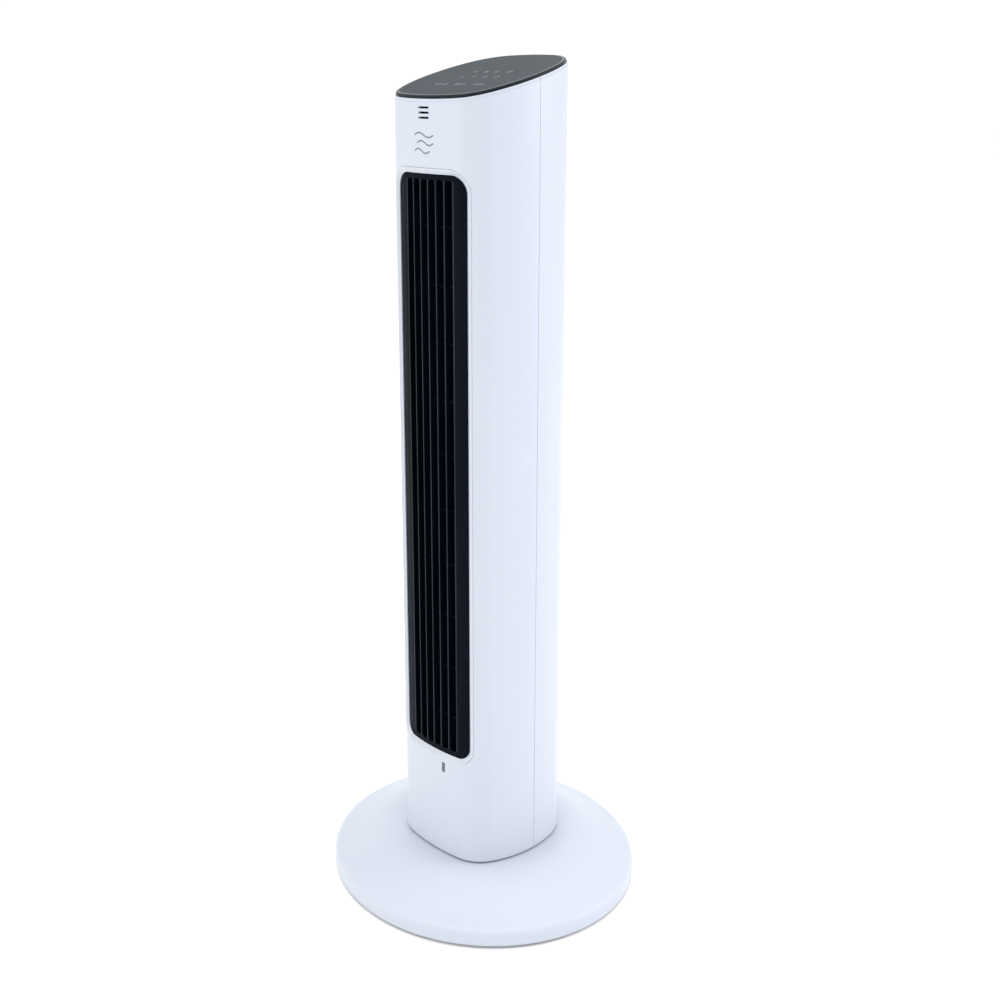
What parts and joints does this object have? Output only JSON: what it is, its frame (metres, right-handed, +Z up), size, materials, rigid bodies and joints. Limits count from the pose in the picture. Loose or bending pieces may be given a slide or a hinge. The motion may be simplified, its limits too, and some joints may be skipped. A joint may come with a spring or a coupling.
{
  "type": "tower fan",
  "caption": "Oscillating tower fan: white column with a slatted black air outlet and slanted touch panel, on a domed oval base.",
  "frame": {"origin": "centre of the oval base where the feet meet the floor", "axes": "+Z up, along the tower; the air outlet faces -Y; +X is on the right of someone who looks at the outlet"},
  "size_m": [0.2976, 0.2754, 0.7499],
  "materials": {
    "shell_white": "semi_gloss",
    "bead_white": "gloss",
    "grille_black": "satin",
    "panel_grey": "satin",
    "dark_plastic": "matte",
    "impeller_black": "satin",
    "acetal": "satin",
    "rubber": "matte",
    "contact_rubber": "matte",
    "filter_mesh": "matte",
    "clear_plastic": "gloss",
    "dark_lens": "gloss",
    "board_green": "satin",
    "plated_steel": "satin",
    "screw_steel": "satin",
    "shaft_steel": "polished",
    "rotor_steel": "satin",
    "copper_winding": "satin",
    "bronze": "satin"
  },
  "bodies": {
    "base": {"base_cover": "shell_white", "base_plate": "dark_plastic", "ballast_plate": "plated_steel", "rubber_feet": "rubber", "base_screws": "screw_steel", "cord_bush": "rubber", "swivel_socket": "acetal", "fixed_gear": "acetal", "glide_ring": "acetal"},
    "tower": {"tower_floor": "shell_white", "pivot_retainer": "plated_steel", "front_shell": "shell_white", "rear_shell": "shell_white", "hand_grip": "shell_white", "shell_screws": "screw_steel", "outlet_bead": "bead_white", "outlet_grille": "grille_black", "intake_grille": "shell_white", "dust_filter": "filter_mesh", "control_panel": "panel_grey", "control_board": "board_green", "light_guide": "clear_plastic", "touch_pads": "contact_rubber", "infrared_receiver": "dark_lens", "room_sensor": "board_green", "lower_deck": "dark_plastic", "upper_deck": "dark_plastic", "duct_scroll": "dark_plastic", "duct_cutoff": "dark_plastic", "motor_stator": "copper_winding", "motor_can": "plated_steel", "motor_mount": "plated_steel", "bearing_bush": "bronze", "bearing_rubber": "rubber", "swing_motor": "plated_steel", "power_board": "board_green"},
    "impeller": {"impeller": "impeller_black", "motor_shaft": "shaft_steel", "motor_rotor": "rotor_steel", "stub_shaft": "shaft_steel"},
    "pinion": {"swing_pinion": "acetal"}
  },
  "joints": [
    {"name": "oscillation", "type": "hinge", "parent": "base", "child": "tower", "pos_m": [0, 0, 0.0398], "axis": [0, 0, 1], "range_deg": [-40, 40]},
    {"name": "impeller_spin", "type": "hinge", "parent": "tower", "child": "impeller", "pos_m": [0, 0.006, 0.4], "axis": [0, 0, 1], "continuous": true},
    {"name": "pinion_spin", "type": "hinge", "parent": "tower", "child": "pinion", "pos_m": [0, 0.032, 0.03], "axis": [0, 0, 1], "range_deg": [-125, 125]}
  ],
  "couplings": [
    {"joint": "pinion_spin", "follows": "oscillation", "ratio": 3}
  ]
}
